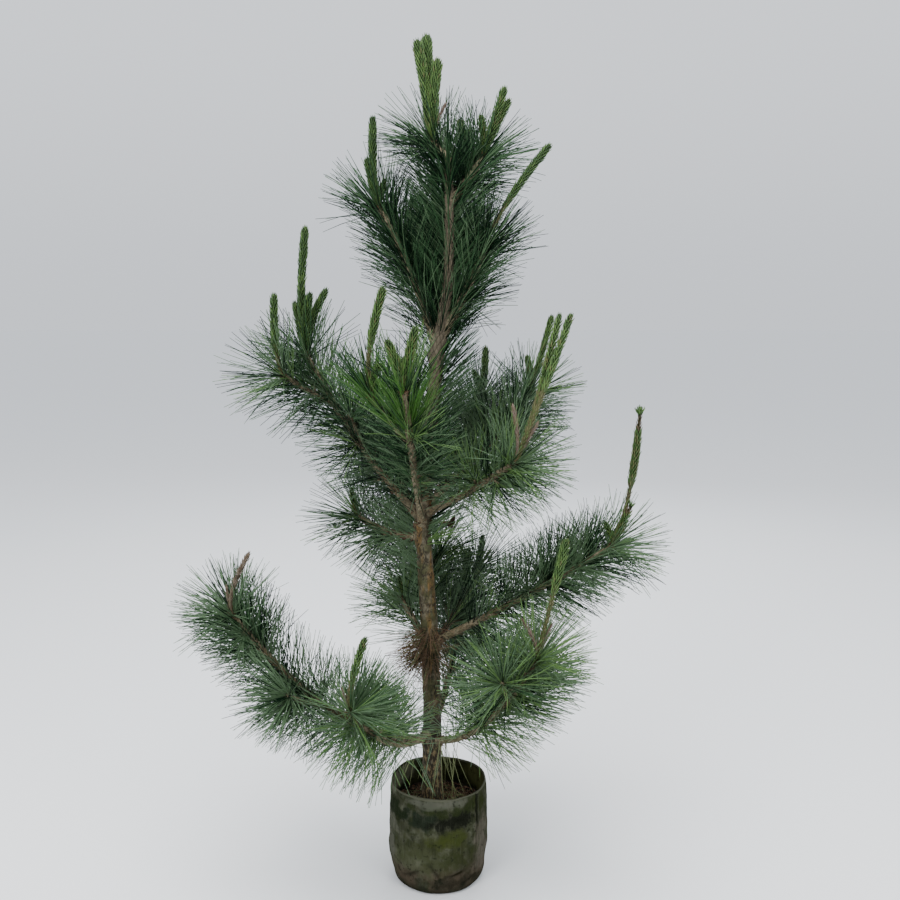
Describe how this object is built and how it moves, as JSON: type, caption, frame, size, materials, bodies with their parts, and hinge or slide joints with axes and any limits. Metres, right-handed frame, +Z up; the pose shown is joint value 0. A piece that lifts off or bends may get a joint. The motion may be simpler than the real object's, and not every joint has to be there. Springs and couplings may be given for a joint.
{
  "type": "japanese black pine",
  "caption": "Young potted pine tree with a leaning trunk, whorls of boughs with long dark needles and upright new shoots, standing in a round grey felt grow bag.",
  "frame": {"origin": "middle of the grow bag's flat underside, on the floor", "axes": "+Z up along the tree, +X to the viewer's right in the picture, +Y away from the viewer"},
  "size_m": [0.981, 0.7593, 1.701],
  "materials": {
    "felt": "matt grey felt with green algae stains",
    "potting_mix": "loose dark bark mix",
    "bark": "rough scaly grey brown bark",
    "needles": "satin dark green needles"
  },
  "bodies": {
    "root": {"crown_back_bough": "bark", "crown_back_needles": "needles", "crown_left_bough": "bark", "crown_left_needles": "needles", "crown_right_bough": "bark", "crown_right_needles": "needles", "grow_bag": "felt", "leader_needles": "needles", "low_back_bough": "bark", "low_back_needles": "needles", "low_front_bough": "bark", "low_front_needles": "needles", "low_left_bough": "bark", "low_left_needles": "needles", "low_right_bough": "bark", "low_right_needles": "needles", "middle_back_left_bough": "bark", "middle_back_left_needles": "needles", "middle_back_right_bough": "bark", "middle_back_right_needles": "needles", "middle_left_bough": "bark", "middle_left_needles": "needles", "middle_right_bough": "bark", "middle_right_needles": "needles", "potting_mix": "potting_mix", "top_back_bough": "bark", "top_back_needles": "needles", "top_right_bough": "bark", "top_right_needles": "needles", "trunk": "bark", "trunk_needles": "needles", "upper_back_bough": "bark", "upper_back_left_bough": "bark", "upper_back_left_needles": "needles", "upper_back_needles": "needles", "upper_back_right_bough": "bark", "upper_back_right_needles": "needles", "upper_front_bough": "bark", "upper_front_needles": "needles", "upper_left_bough": "bark", "upper_left_low_bough": "bark", "upper_left_low_needles": "needles", "upper_left_needles": "needles", "upper_right_bough": "bark", "upper_right_needles": "needles"}
  },
  "joints": []
}
